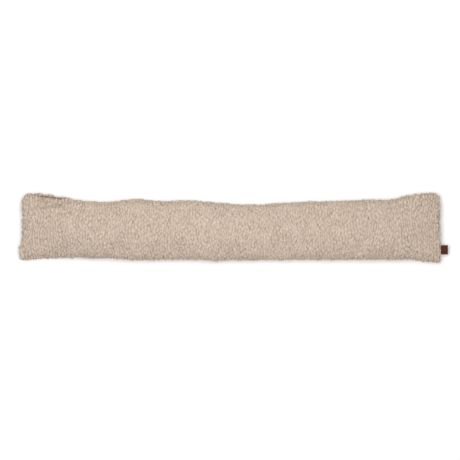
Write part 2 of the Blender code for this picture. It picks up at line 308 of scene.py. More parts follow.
def station(share):
    """The place along the length of each share from -1 to 1: even steps, finer near the ends."""
    steps = np.abs(share) * STEPS_ALONG / 2
    middle_half = LENGTH / 2 - END_ZONE
    even = middle_half * steps / (MIDDLE_STEPS / 2)
    left = np.clip(STEPS_ALONG / 2 - steps, 0, END_STEPS) / END_STEPS
    near_end = LENGTH / 2 - END_ZONE * left**END_STEP_GROWTH
    return np.sign(share) * np.where(steps <= MIDDLE_STEPS / 2, even, near_end)


def turned_along(x):
    """How far the seam's rolled stretch has set in at each x, from 0 to 1: an S at both its ends."""
    start, full, last, end = EDGE_TURN_SPAN
    return eased(x, start, full) * (1 - eased(x, last, end))


def edge_turned(x, y):
    """How far the seam has rolled up onto the face at each place, from 0 to 1, on the back edge."""
    return turned_along(x) * (y > 0)


def laid(points):
    """The flat-seamed cushion as it lies: the back left edge turned up onto the face, each section
    rolled about its middle, the ends drooped and hollowed, the corner ear drawn out, and the
    underside flattened softly on the floor."""
    x, y, z = points.T
    back, front = section_value(x, BACK), section_value(x, FRONT)
    middle, half = (back + front) / 2, (back - front) / 2
    out = y - back + EDGE_TURN_INSIDE
    full_turn = np.radians(EDGE_TURN_DEG)
    turn = turned_along(x) * (full_turn * (1 - eased(np.hypot(out, z), EDGE_TURN_FULL, EDGE_TURN_NONE)))
    y = back - EDGE_TURN_INSIDE + out * np.cos(turn) - z * np.sin(turn)
    y = y - EDGE_TURN_DRAWN * turn / full_turn
    z = out * np.sin(turn) + z * np.cos(turn)
    roll = np.radians(section_value(x, ROLL))
    from_end = LENGTH / 2 - np.abs(x)
    seam = SEAM_HEIGHT - END_DROOP * (1 - eased(from_end, 0, DROOP_REACH))
    rolled_y = middle + (y - middle) * np.cos(roll) - z * np.sin(roll)
    rolled_z = seam + (y - middle) * np.sin(roll) + z * np.cos(roll)
    bow = 1 - np.clip((y - middle) / half, -1, 1) ** 2
    drawn = END_HOLLOW * bow + END_DRAWN + END_DRAWN_AT_BACK * eased(y, *END_BACK_SPAN)
    drawn += END_DRAWN_AT_RIGHT * (x > 0)
    hollow = drawn * (1 - eased(from_end, 0, END_HOLLOW_REACH))
    ear = EAR_OUT * (1 - eased(x + LENGTH / 2, 0, EAR_REACH)) * eased(-y, -EAR_INNER, -EAR_OUTER)
    soft = np.maximum(rolled_z + FLOOR_BLEND, 0) ** 2 / (4 * FLOOR_BLEND)
    resting = np.where(rolled_z > FLOOR_BLEND, rolled_z, soft)
    return np.stack([x - np.sign(x) * hollow - ear, rolled_y, resting], axis=1)


def panel_grid(steps_along, steps_across):
    """The plan points of one panel, shape (along + 1, across + 1, 2), spread across each section as
    the sine of even angles, so that they are even along its rounded surface."""
    x = station(np.linspace(-1, 1, steps_along + 1))[:, None]
    across = np.sin(np.linspace(-1, 1, steps_across + 1) * math.pi / 2)[None, :]
    back = section_value(x, BACK) - corner_inset(x, np.array(True))
    front = section_value(x, FRONT) + corner_inset(x, np.array(False))
    y = (back + front) / 2 + across * (back - front) / 2
    return np.stack([np.broadcast_to(x, y.shape), y], axis=2)


def grid_quads(rows, columns):
    """The faces of a grid of rows x columns points, facing up when x grows with the rows."""
    index = np.arange(rows * columns).reshape(rows, columns)
    corners = (index[:-1, :-1], index[1:, :-1], index[1:, 1:], index[:-1, 1:])
    return np.stack(corners, axis=2).reshape(-1, 4)


def border_loop(rows, columns):
    """The grid's border points in order, once round."""
    index = np.arange(rows * columns).reshape(rows, columns)
    return np.concatenate([index[:-1, 0], index[-1, :-1], index[:0:-1, -1], index[0, :0:-1]])


def vertex_normals(points, quads):
    """Each point's normal: the mean of its faces' normals, weighted by their area."""
    a, b, c, d = (points[quads[:, k]] for k in range(4))
    face = np.cross(c - a, d - b)
    total = np.zeros_like(points)
    for k in range(4):
        for axis in range(3):
            total[:, axis] += np.bincount(quads[:, k], weights=face[:, axis], minlength=len(points))
    return total / np.maximum(np.linalg.norm(total, axis=1, keepdims=True), 1e-12)


def panel(face, steps_along, steps_across):
    """One panel over the flat seam: its grid, and rings of points that carry its border round a
    quarter circle and under, to the seam line. Gives the points, the faces, and each point's place
    on the cloth, which across the strip is the length over its surface from the middle."""
    plan = panel_grid(steps_along, steps_across)
    rows, columns = plan.shape[:2]
    flat = plan.reshape(-1, 2)
    height = panel_height(flat[:, 0], flat[:, 1], face)
    loop = border_loop(rows, columns)
    edge = flat[loop]
    step = 1e-5
    slope = np.stack([
        edge_distance(edge[:, 0] + step, edge[:, 1]) - edge_distance(edge[:, 0] - step, edge[:, 1]),
        edge_distance(edge[:, 0], edge[:, 1] + step) - edge_distance(edge[:, 0], edge[:, 1] - step),
    ], axis=1)
    inwards = slope / np.linalg.norm(slope, axis=1, keepdims=True)
    run, rise = np.diff(plan[:, :, 1], axis=1), np.diff(height.reshape(rows, columns), axis=1)
    across = np.zeros((rows, columns))
    across[:, 1:] = np.cumsum(np.hypot(run, rise), axis=1)
    across -= across[:, [columns // 2]]
    points = [np.column_stack([flat, height])]
    surface = [np.column_stack([flat[:, 0], across.reshape(-1)])]
    quads = [grid_quads(rows, columns)]
    above, count = loop, rows * columns
    depth = SEAM_DEPTH + (SEAM_DEPTH_TURNED - SEAM_DEPTH) * edge_turned(edge[:, :1], edge[:, 1:])
    for angle in np.radians(RIM_RINGS_DEG):
        ring = edge + inwards * depth * (1 - math.cos(angle))
        points.append(np.column_stack([ring, np.full(len(ring), EDGE_LIFT * (1 - math.sin(angle)))]))
        surface.append(surface[0][loop] - inwards * EDGE_LIFT * angle)
        below = count + np.arange(len(loop))
        quads.append(np.stack([above, below, np.roll(below, -1), np.roll(above, -1)], axis=1))
        above, count = below, count + len(loop)
    points = np.concatenate(points)
    points[:, 2] *= face
    quads = np.concatenate(quads)
    return points, quads if face > 0 else quads[:, ::-1], np.concatenate(surface)


def new_piece(name, points, *faces):
    """A smooth mesh object from an array of points and arrays of faces, each of one corner count."""
    data = bpy.data.meshes.new(name)
    data.from_pydata(points.tolist(), [], sum((group.tolist() for group in faces), []))
    data.shade_smooth()
    piece = bpy.data.objects.new(name, data)
    bpy.context.scene.collection.objects.link(piece)
    return piece


def smooth_spread(fine, coarse):
    """The matrix that spreads values at coarse + 1 even places to fine + 1 places, by cubic curves."""
    place = np.linspace(0, coarse, fine + 1)
    low = np.clip(np.floor(place).astype(int), 0, coarse - 1)
    t = place - low
    weights = (
        (-t + 2 * t**2 - t**3) / 2,
        (2 - 5 * t**2 + 3 * t**3) / 2,
        (t + 4 * t**2 - 3 * t**3) / 2,
        (t**3 - t**2) / 2,
    )
    matrix = np.zeros((fine + 1, coarse + 1))
    for offset, weight in zip((-1, 0, 1, 2), weights):
        np.add.at(matrix, (np.arange(fine + 1), np.clip(low + offset, 0, coarse)), weight)
    return matrix


def settled_shift():
    """How far the filling's pressure moves each point of both panels, as two fine grids: Blender's
    cloth on the coarse closed cover, held at the seam, with no gravity and each move capped."""
    along, across = STEPS_ALONG // SETTLE_EVERY, WIDTH_STEPS // SETTLE_EVERY
    top, top_quads, _ = panel(1, along, across)
    under, under_quads, _ = panel(-1, along, across)
    start = np.concatenate([top, under])
    quads = np.concatenate([top_quads, under_quads + len(top)])
    seam = len(border_loop(along + 1, across + 1))
    link = np.arange(len(start))
    link[-seam:] = np.arange(len(top) - seam, len(top))
    quads = link[quads]
    start = start[:-seam]
    piece = new_piece("cover_settling", start, quads)
    held = piece.vertex_groups.new(name="seam")
    grid = (along + 1) * (across + 1)
    held.add(np.arange(grid, len(top)).tolist(), 1.0, "REPLACE")
    held.add(np.arange(len(top) + grid, len(start)).tolist(), 1.0, "REPLACE")
    cloth = piece.modifiers.new("filling", "CLOTH")
    cloth.settings.quality = 5
    cloth.settings.mass = 0.3
    cloth.settings.tension_stiffness = 15
    cloth.settings.compression_stiffness = 12
    cloth.settings.shear_stiffness = 5
    cloth.settings.bending_stiffness = 0.8
    cloth.settings.shrink_min = -0.035
    cloth.settings.vertex_group_mass = held.name
    cloth.settings.use_pressure = True
    cloth.settings.uniform_pressure_force = 4
    cloth.settings.effector_weights.gravity = 0
    cloth.collision_settings.use_self_collision = False
    for number in range(1, SETTLE_FRAMES + 1):
        bpy.context.scene.frame_set(number)
    after = piece.evaluated_get(bpy.context.evaluated_depsgraph_get()).data
    moved = np.empty(len(start) * 3)
    after.vertices.foreach_get("co", moved)
    bpy.data.objects.remove(piece)
    bpy.context.scene.frame_set(1)
    shift = moved.reshape(-1, 3) - start
    size = np.linalg.norm(shift, axis=1, keepdims=True)
    shift *= SETTLE_MOST * np.tanh(size / SETTLE_MOST) / np.maximum(size, 1e-9)
    spread_along = smooth_spread(STEPS_ALONG, along)
    spread_across = smooth_spread(WIDTH_STEPS, across)
    grids = []
    for first in (0, len(top)):
        coarse = shift[first:first + grid].reshape(along + 1, across + 1, 3)
        grids.append(np.einsum("ij,jkc,lk->ilc", spread_along, coarse, spread_across).reshape(-1, 3))
    return grids


# Four random numbers for each cell of a lattice that repeats; each layer starts elsewhere in it, and
# a cell that doesn't count is taken to be this far off
DICE_SIDE = 128
DICE = np.random.default_rng(2024).random((4, DICE_SIDE, DICE_SIDE))
LAYER_START = (17, 31)
FAR_OFF = 9.0


def nubs(along, across, pitch_along, pitch_across, layer):
    """The pile's nubs: a lattice of cells in columns across the strip, every other column half a
    cell on, each cell with a jittered middle. Gives how far inside its nub each place is, 0 in the
    valleys between columns and 1 well inside (the nearest middle's distance in another column less
    the nearest one's), a little lower between two nubs of one column, and the nub's own two random
    numbers."""
    a, b = along / pitch_along, across / pitch_across
    base_a, base_b = np.floor(a).astype(int), np.floor(b).astype(int)
    far, column, own = [], [], []
    for shift_a in (-1, 0, 1):
        for shift_b in (-1, 0, 1):
            cell_a, cell_b = base_a + shift_a, base_b + shift_b
            dice_a = (cell_a + LAYER_START[0] * layer) % DICE_SIDE
            dice_b = (cell_b + LAYER_START[1] * layer) % DICE_SIDE
            jitter_a, jitter_b, one, two = DICE[:, dice_a, dice_b] - 0.5
            off_a = a - cell_a - 0.5 - NUB_JITTER_ALONG * jitter_a
            off_b = b - cell_b - 0.25 - 0.5 * (cell_a % 2) - NUB_JITTER_ACROSS * jitter_b
            far.append(np.hypot(off_a, off_b))
            column.append(cell_a)
            own.append((one, two))
    far, column, own = np.array(far), np.array(column), np.array(own)
    place = np.arange(len(a))
    pick = far.argmin(axis=0)
    nearest, home = far[pick, place], column[pick, place]
    beside = np.where(column == home, FAR_OFF, far).min(axis=0) - nearest
    ahead = np.where((column == home) & (far > nearest), far, FAR_OFF).min(axis=0) - nearest
    inside = eased(beside, 0, NUB_FULL) * (1 - NUB_BREAK * (1 - eased(ahead, 0, NUB_FULL)))
    return inside, own[pick, :, place].T


def slant_shift(along, across, seed):
    """How far the nap's lie carries the columns of nubs sideways at each place: wide waves plus
    small ones."""
    wide = NUB_SLANT * waves(along, across, NUB_SLANT_SIZE, NUB_SLANT_SEED + seed)
    return wide + NUB_WARP * waves(along, across, NUB_WARP_SIZE, NUB_WARP_SEED + seed)


def cloth_axes(normal):
    """Two directions in the cloth at each point, at right angles to its normal: along the strip,
    and across it."""
    along = np.cross(np.array([0.0, 1.0, 0.0]), normal)
    along /= np.maximum(np.linalg.norm(along, axis=1, keepdims=True), 1e-9)
    return along, np.cross(normal, along)


def piled(points, quads, surface, from_seam, seed):
    """The ground cloth with its pile: each point sinks by the pile's depth, then rises on the
    nub it lies in, which leans its own way, and on finer curls. The last ring, at the seam, only
    sinks. Gives the points, their tone with painted shade in the valleys, at the seam and at the
    rim, the ground's normals, how far inside its nub each point is, and how far the nap turns there."""
    normal = vertex_normals(points, quads)
    at_seam = from_seam <= SEAM_LINE
    normal[at_seam, 2] = 0
    normal[at_seam] /= np.linalg.norm(normal[at_seam], axis=1, keepdims=True)
    along, across = surface.T
    shift = slant_shift(along, across, seed)
    before, after = (slant_shift(along, across + step, seed) for step in (-NAP_STEP, NAP_STEP))
    turn = np.arctan((after - before) / (2 * NAP_STEP))
    warp = 2 * NUB_WARP * waves(along, across, NUB_WARP_ACROSS_SIZE, NUB_WARP_ACROSS_SEED + seed)
    inside, own = nubs(along + shift, across + warp, NUB_ALONG, NUB_ACROSS, seed)
    curl_across = CURL_SIZE * CURL_STRETCH
    fine, _ = nubs(along + 2 * warp, across + shift, CURL_SIZE, curl_across, seed + CURL_LAYER)
    away = eased(from_seam, 0, SINK_REACH)
    full = NUB_AT_RIM + (1 - NUB_AT_RIM) * away
    sink = SINK_AT_RIM + (PILE_DEPTH - SINK_AT_RIM) * away
    rise = (NUB_HIGH * inside * (1 + NUB_UNEVEN * own[0]) + CURL_HIGH * fine) * full - sink
    loose = eased(from_seam, SEAM_LINE, 0)
    rolled = edge_turned(points[:, 0], points[:, 1])
    rise = rise * loose - (SEAM_SINK + (SEAM_SINK_TURNED - SEAM_SINK) * rolled) * (1 - loose)
    lean = own * 2 * NUB_LEAN * inside * loose
    tangent, sideways = cloth_axes(normal)
    moved = points + normal * rise[:, None] + tangent * lean[0][:, None] + sideways * lean[1][:, None]
    # The nub and the curl paint shade into the valleys between them; chance adds random tone.
    pile_tone_and_shade = PAINTED_SHADE_OF_NUB * inside + PAINTED_SHADE_OF_CURL * fine + TONE_OF_CHANCE * (own[1] + 0.5)
    # Painted shade near the rim, where the surface turns away from the light
    pile_tone_and_shade -= RIM_PAINTED_SHADE * (1 - eased(from_seam, 0, RIM_PAINTED_SHADE_REACH))
    # Painted shade in the seam's groove, darkest in the rolled crease
    seam_painted_shade = SEAM_PAINTED_SHADE_TONE + (SEAM_PAINTED_SHADE_TONE_TURNED - SEAM_PAINTED_SHADE_TONE) * rolled
    pile_tone_and_shade = seam_painted_shade + (pile_tone_and_shade - seam_painted_shade) * eased(from_seam, *SEAM_SHADE)
    return moved, pile_tone_and_shade, normal, inside, turn


# The line that closes a panel inside stands this far over the seam's plane, so that the faces that
# close the two panels keep apart
SPINE_RISE = 0.002


def seam_plane(points, rows, columns, face):
    """What closes a panel's half of the filling at the seam's plane: a line of points along the
    middle, a little inside, joined to the last ring, with a fan at each end. Gives the points with
    that line, and its triangles."""
    count = 2 * (rows + columns) - 4
    ring = np.arange(len(points) - count, len(points))
    row = border_loop(rows, columns) // columns
    spine_rows = np.arange(END_STEPS, rows - END_STEPS)
    front, back = ring[spine_rows], ring[count - columns + 1 - spine_rows]
    spine = (points[front] + points[back]) / 2 + np.array([0.0, 0.0, SPINE_RISE * face])
    near = len(points) + np.clip(row - END_STEPS, 0, len(spine) - 1)
    after, near_after = np.roll(ring, -1), np.roll(near, -1)
    fan = np.stack([after, ring, near], axis=1)
    rest = np.stack([after, near, near_after], axis=1)[near != near_after]
    triangles = np.concatenate([fan, rest])
    return np.concatenate([points, spine]), triangles if face > 0 else triangles[:, ::-1]


def add_node(tree, kind, settings=(), **inputs):
    """One shader node with its settings, and with each named input set to a value or linked to a
    socket."""
    node = tree.nodes.new(kind)
    for name, value in dict(settings).items():
        setattr(node, name, value)
    for name, value in inputs.items():
        socket = node.inputs[name.replace("_", " ")]
        if isinstance(value, bpy.types.NodeSocket):
            tree.links.new(value, socket)
        else:
            socket.default_value = value
    return node


def linear(code):
    """The linear colour of an sRGB hex value."""
    parts = [int(code[k:k + 2], 16) / 255 for k in (1, 3, 5)]
    return tuple(p / 12.92 if p <= 0.04045 else ((p + 0.055) / 1.055) ** 2.4 for p in parts) + (1.0,)


# Teddy cloth: matt polyester fibre in loose curls, so light comes back soft and pale from the tips;
# the warm dark between the nubs is painted shade, carried by the tone; a faint sheen where fibres
# stand against the view.
# Single fibres are too fine to show, so their bump and streaks are drawn as coarse as small tufts.
# The seam's colour and the root's are painted shade, for the seam's groove and the valleys between nubs.
SEAM_PAINTED_SHADE_COLOUR = "#806B59"
PILE_ROOT_IN_SHADE = "#AC9A89"
PILE_MIDDLE = "#C7B5A5"
PILE_TIP = "#D9C9BB"
PILE_ROOT_IN_SHADE_TONE = 0.15
PILE_MIDDLE_TONE = 0.55
SHEEN_TINT = "#FFF3E4"
FIBRE_SIZE = 0.0007
FIBRE_HIGH = 0.0009
FIBRE_STRENGTH = 0.9
STREAK_WIDE = 0.0021
STREAK_LONG = 0.0062
STREAK_STRENGTH = 0.75
MOTTLE_SIZE = 0.02
MOTTLE_STRENGTH = 0.15


def teddy_cloth():
    """The cover's material: colour from the pile's tone, which holds painted shade, mottled and
    streaked along the nap, with a bump of fine fibres."""
    material = bpy.data.materials.new("teddy_cloth_curly_polyester")
    material.use_nodes = True
    tree = material.node_tree
    shader = tree.nodes["Principled BSDF"]
    place = add_node(tree, "ShaderNodeTexCoord").outputs["Object"]
    pile_tone_and_shade = add_node(tree, "ShaderNodeAttribute", {"attribute_name": "pile_tone_and_shade"}).outputs["Fac"]
    nap = add_node(tree, "ShaderNodeAttribute", {"attribute_name": "nap_place"}).outputs["Vector"]
    streak_scale = (1 / STREAK_WIDE, 1 / STREAK_LONG, 1.0)
    drawn_out = add_node(tree, "ShaderNodeMapping", Vector=nap, Scale=streak_scale)
    streak = add_node(tree, "ShaderNodeTexNoise", Vector=drawn_out.outputs[0], Scale=1.0, Detail=2.0)
    mottle = add_node(tree, "ShaderNodeTexNoise", Vector=place, Scale=1 / MOTTLE_SIZE, Detail=3.0)
    mixed = pile_tone_and_shade
    for pattern, strength in ((mottle, MOTTLE_STRENGTH), (streak, STREAK_STRENGTH)):
        even = add_node(tree, "ShaderNodeMath", {"operation": "SUBTRACT"})
        tree.links.new(pattern.outputs["Fac"], even.inputs[0])
        even.inputs[1].default_value = 0.5
        sum_node = add_node(tree, "ShaderNodeMath", {"operation": "MULTIPLY_ADD"})
        tree.links.new(even.outputs[0], sum_node.inputs[0])
        sum_node.inputs[1].default_value = strength
        tree.links.new(mixed, sum_node.inputs[2])
        mixed = sum_node.outputs[0]
    # The ramp's low end is painted shade: the seam's colour, then the roots'.
    ramp = add_node(tree, "ShaderNodeValToRGB", Fac=mixed)
    ramp.color_ramp.elements[0].color = linear(SEAM_PAINTED_SHADE_COLOUR)
    ramp.color_ramp.elements[1].position = 1.0
    ramp.color_ramp.elements[1].color = linear(PILE_TIP)
    ramp.color_ramp.elements.new(PILE_ROOT_IN_SHADE_TONE).color = linear(PILE_ROOT_IN_SHADE)
    ramp.color_ramp.elements.new(PILE_MIDDLE_TONE).color = linear(PILE_MIDDLE)
    fibre = add_node(tree, "ShaderNodeTexNoise", Vector=place, Scale=1 / FIBRE_SIZE, Detail=2.0)
    bump = add_node(tree, "ShaderNodeBump", Height=fibre.outputs["Fac"], Strength=FIBRE_STRENGTH,
                    Distance=FIBRE_HIGH)
    tree.links.new(ramp.outputs["Color"], shader.inputs["Base Color"])
    tree.links.new(bump.outputs["Normal"], shader.inputs["Normal"])
    shader.inputs["Roughness"].default_value = 0.95
    shader.inputs["Specular IOR Level"].default_value = 0.15
    shader.inputs["Sheen Weight"].default_value = 0.35
    shader.inputs["Sheen Roughness"].default_value = 0.6
    shader.inputs["Sheen Tint"].default_value = linear(SHEEN_TINT)
    return material


cover_material = teddy_cloth()

# Where the drawing's own origin lies in the frame, from the label's root and middle line
LABEL_ROOT = 0.010
LABEL_Y = -0.0425
label_low, label_high = (np.array(corner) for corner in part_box("side_label"))
DRAWN_TO_FRAME = np.array([
    label_low[0] - (LENGTH / 2 - LABEL_ROOT),
    (label_low[1] + label_high[1]) / 2 - LABEL_Y,
    0.0,
])


def set_pile(piece, pile_tone_and_shade, surface):
    """Keeps the pile's tone, with its painted shade, and its place on the cloth at each point, for
    the material. Points past the given ones, which close the piece inside, get none."""
    count = len(piece.data.vertices)
    pile_tones_and_shade, places = np.zeros(count), np.zeros((count, 3))
    pile_tones_and_shade[:len(pile_tone_and_shade)], places[:len(surface), :2] = pile_tone_and_shade, surface
    attributes = piece.data.attributes
    attributes.new("pile_tone_and_shade", "FLOAT", "POINT").data.foreach_set("value", pile_tones_and_shade)
    attributes.new("nap_place", "FLOAT_VECTOR", "POINT").data.foreach_set("vector", places.ravel())


def distance_inside(points, grid_size):
    """How far inside the outline each of a panel's points is: its plan distance on the grid, and
    down in even steps to the seam's line on the rings past it."""
    rings = len(RIM_RINGS_DEG)
    from_seam = edge_distance(points[:, 0], points[:, 1])
    shares = np.arange(1, rings + 1) / rings
    from_seam[grid_size:] = SEAM_LINE * np.repeat(shares, (len(points) - grid_size) // rings)
    return from_seam


Ground = namedtuple("Ground", "quads points normal inside nap from_seam surface")
settle = settled_shift()
grounds = {}
for name, face, shift in (("cover_front_panel", 1, settle[0]), ("cover_back_panel", -1, settle[1])):
    points, quads, surface = panel(face, STEPS_ALONG, WIDTH_STEPS)
    grid_size = (STEPS_ALONG + 1) * (WIDTH_STEPS + 1)
    from_seam = distance_inside(points, grid_size)
    points[:grid_size] += shift
    moved, pile_tone_and_shade, normal, inside, turn = piled(points, quads, surface, from_seam, 1 if face > 0 else 2)
    grounds[face] = Ground(quads, moved, normal, inside, turn, from_seam, surface)
    closed, triangles = seam_plane(moved, STEPS_ALONG + 1, WIDTH_STEPS + 1, face)
    cloth_panel = new_piece(name, laid(closed) + DRAWN_TO_FRAME, quads, triangles)
    cloth_panel.data.materials.append(cover_material)
    set_pile(cloth_panel, pile_tone_and_shade, surface)
    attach(cloth_panel, "root")
    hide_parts("filled_cover")

# The curls: the pile stands in small locks of fibre, each bent over in an arch with its root and
# tip in the cloth. The nap was brushed across the strip, so most lie that way, some slanting.
LOCK_SIDES = 4
LOCK_RINGS = 5
LOCK_FIRST_RING = 0.1
LOCK_LONG = 0.0080
LOCK_LEAST = 0.7
LOCK_SPREAD = 0.6
LOCK_THICK = 0.0018
LOCK_THIN_END = 0.35
LOCK_RISE = 0.0015
LOCK_SINK = 0.0009
LOCK_BEND = 0.0016
LOCK_BEND_MIDDLE = 0.6
LOCK_SWAY_DEG = 14

# Where they stand: few in the valleys between nubs, none close to the seam's line or the floor, and
# shorter and higher towards the rim
LOCK_IN_VALLEY = 0.15
LOCK_ON_NUB = (0.2, 0.9)
LOCK_BARE_SEAM = -0.0022
LOCK_BARE_TURN = -0.0008
LOCK_CLEAR_OF_FLOOR = 0.004
LOCK_SHORT_SEAM = 0.007
LOCK_SHORTEST = 0.75
LOCK_RIM_FUZZ = 0.8

# Their tone: at the root, dark with painted shade, the rise of it to the top of the arch, and the
# share of chance
LOCK_TONE = 0.25
LOCK_PAINTED_SHADE_TO_ARCH = 0.4
LOCK_TONE_OF_CHANCE = 0.35

# One row for each joined mesh: its name, its face, its half (0 for both) and its number of locks
LOCKS = (
    ("pile_left_half", 1, -1, 4870),
    ("pile_right_half", 1, 1, 4870),
    ("pile_underside", -1, 0, 4700),
)
LOCK_SEED = 40


def lock_faces(count):
    """The triangles of many locks, each a tube of rings closed by a point at both ends."""
    side = np.arange(LOCK_SIDES)
    after = (side + 1) % LOCK_SIDES
    rows = []
    for ring in range(LOCK_RINGS - 1):
        low, high = ring * LOCK_SIDES, (ring + 1) * LOCK_SIDES
        rows.append(np.stack([low + side, low + after, high + after], axis=1))
        rows.append(np.stack([low + side, high + after, high + side], axis=1))
    root, tip = LOCK_RINGS * LOCK_SIDES, LOCK_RINGS * LOCK_SIDES + 1
    last = (LOCK_RINGS - 1) * LOCK_SIDES
    rows.append(np.stack([np.full(LOCK_SIDES, root), after, side], axis=1))
    rows.append(np.stack([np.full(LOCK_SIDES, tip), last + side, last + after], axis=1))
    one = np.concatenate(rows)
    each = LOCK_RINGS * LOCK_SIDES + 2
    return (one[None] + np.arange(count)[:, None, None] * each).reshape(-1, 3)


def lock_places(ground, count, half, dice):
    """Where locks stand: strewn over one panel by area, each face weighted by how thickly they stand
    there. Gives each lock's face and middle place, and how far inside the outline that face is."""
    a, b, c, d = (ground.points[ground.quads[:, k]] for k in range(4))
    area = np.linalg.norm(np.cross(c - a, d - b), axis=1) / 2
    middle = (a + b + c + d) / 4
    if half:
        area = area * (middle[:, 0] * half > 0)
    area = area * (laid(middle)[:, 2] > LOCK_CLEAR_OF_FLOOR)
    near_seam = ground.from_seam[ground.quads].mean(axis=1)
    rolled = edge_turned(middle[:, 0], middle[:, 1]) > 0
    area = area * (near_seam > np.where(rolled, LOCK_BARE_TURN, LOCK_BARE_SEAM))
    area = area * (LOCK_IN_VALLEY + eased(ground.inside[ground.quads].mean(axis=1), *LOCK_ON_NUB))
    share = np.cumsum(area) / area.sum()
    pick = np.searchsorted(share, (np.arange(count) + dice.random(count)) / count)
    mix = dice.random((count, 2, 1))
    low = a[pick] * (1 - mix[:, 0]) + b[pick] * mix[:, 0]
    high = d[pick] * (1 - mix[:, 0]) + c[pick] * mix[:, 0]
    return pick, low * (1 - mix[:, 1]) + high * mix[:, 1], near_seam[pick]


def locks(ground, count, half, seed):
    """The locks of one joined mesh. Along a lock, its middle line is an arch of a parabola over the
    cloth and another sideways, and its radius swells as the sine. Gives the points, their tone,
    with painted shade towards the ends and near the rim, and their place on the cloth."""
    dice = np.random.default_rng(seed)
    pick, middle, near_seam = lock_places(ground, count, half, dice)
    first = ground.quads[pick, 0]
    up = ground.normal[first]
    along, across = cloth_axes(up)
    turn = np.radians(90 + LOCK_SWAY_DEG * dice.standard_normal(count)) + ground.nap[first]
    ahead = along * np.cos(turn)[:, None] + across * np.sin(turn)[:, None]
    aside = np.cross(up, ahead)
    away = eased(near_seam, 0, LOCK_SHORT_SEAM)
    room = LOCK_SHORTEST + (1 - LOCK_SHORTEST) * away
    size = (room * (LOCK_LEAST + LOCK_SPREAD * dice.random(count)))[:, None, None]
    bend = (LOCK_BEND * dice.standard_normal(count))[:, None, None]
    share = np.concatenate([np.linspace(LOCK_FIRST_RING, 1 - LOCK_FIRST_RING, LOCK_RINGS), [0.0, 1.0]])
    q = share[None, :, None]
    arch = 4 * q * (1 - q)
    rise = (LOCK_RISE * (1 + LOCK_RIM_FUZZ * (1 - away)))[:, None, None]
    line = middle[:, None] + ahead[:, None] * (q - 0.5) * LOCK_LONG * size
    line = line + aside[:, None] * bend * (arch - LOCK_BEND_MIDDLE)
    line = line + up[:, None] * (rise * arch * size - LOCK_SINK)
    radius = LOCK_THICK / 2 * size * (LOCK_THIN_END + (1 - LOCK_THIN_END) * np.sin(math.pi * q))
    spin = np.linspace(0, 2 * math.pi, LOCK_SIDES, endpoint=False)[None, None, :, None]
    rings = line[:, :LOCK_RINGS, None] + radius[:, :LOCK_RINGS, None] * (
        aside[:, None, None] * np.cos(spin) + up[:, None, None] * np.sin(spin))
    each = np.concatenate([rings.reshape(count, -1, 3), line[:, LOCK_RINGS:]], axis=1)
    of_point = np.concatenate([np.repeat(share[:LOCK_RINGS], LOCK_SIDES), share[LOCK_RINGS:]])
    arched = 4 * of_point * (1 - of_point)
    # Painted shade darkens each lock towards its ends, where it dips into the cloth; chance adds random
    # tone.
    pile_tone_and_shade = LOCK_TONE + LOCK_PAINTED_SHADE_TO_ARCH * arched + LOCK_TONE_OF_CHANCE * dice.random(count)[:, None]
    # Painted shade near the rim, as on the ground cloth
    pile_tone_and_shade -= (RIM_PAINTED_SHADE * (1 - eased(near_seam, 0, RIM_PAINTED_SHADE_REACH)))[:, None]
    place = np.repeat(ground.surface[first][:, None], each.shape[1], axis=1)
    place[:, :, 1] += of_point * LOCK_LONG
    return each.reshape(-1, 3), pile_tone_and_shade.reshape(-1), place.reshape(-1, 2)


for seed, (name, face, half, count) in enumerate(LOCKS):
    points, pile_tone_and_shade, place = locks(grounds[face], count, half, LOCK_SEED + seed)
    pile = new_piece(name, laid(points) + DRAWN_TO_FRAME, lock_faces(count))
    pile.data.materials.append(cover_material)
    set_pile(pile, pile_tone_and_shade, place)
    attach(pile, "root")
    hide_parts("filled_cover")

# The label: one strip of dark brown leatherette, an embossed polyurethane skin on cloth, folded in
# half round its outer end, with both tails sewn into the end seam. A border is pressed into it.
LABEL_WIDTH = 0.020
LABEL_SHOWS = 0.0147
LABEL_SHEET = 0.0010
LABEL_GAP = 0.0005
LABEL_DROOP_DEG = 9.0
LABEL_ROOT_POINTS = 4
LABEL_LEG_POINTS = 14
LABEL_FOLD_STEPS = 10
LABEL_POINTS_BETWEEN = 9
BORDER_INSET = 0.0013
BORDER_WIDE = 0.0005
BORDER_DEEP = 0.00018
BORDER_FROM = -0.001
LABEL_CURL = 0.0004

# Where points stand close together: over a round rim, in shares of the sheet's thickness, and over
# a pressed line, in shares of its width
RIM_SHARES = (0.0, 0.04, 0.15, 0.3, 0.5)
LINE_SHARES = (-1.0, -0.5, 0.0, 0.5, 1.0)


def lines_across():
    """Places across the strip: close together at both rounded rims and over the pressed line that
    lies inside each, and even between."""
    near = np.concatenate([
        LABEL_SHEET * np.array(RIM_SHARES),
        BORDER_INSET + BORDER_WIDE * np.array(LINE_SHARES),
    ])
    low, high = -LABEL_WIDTH / 2, LABEL_WIDTH / 2
    between = np.linspace(low + near[-1], high - near[-1], LABEL_POINTS_BETWEEN + 2)[1:-1]
    return np.concatenate([low + near, between, high - near[::-1]])


def pressed(off):
    """How deep a pressed line is at each distance from it, from 0 to 1: a soft round groove, as a
    bell curve."""
    return np.exp(-((off / (0.5 * BORDER_WIDE)) ** 2))


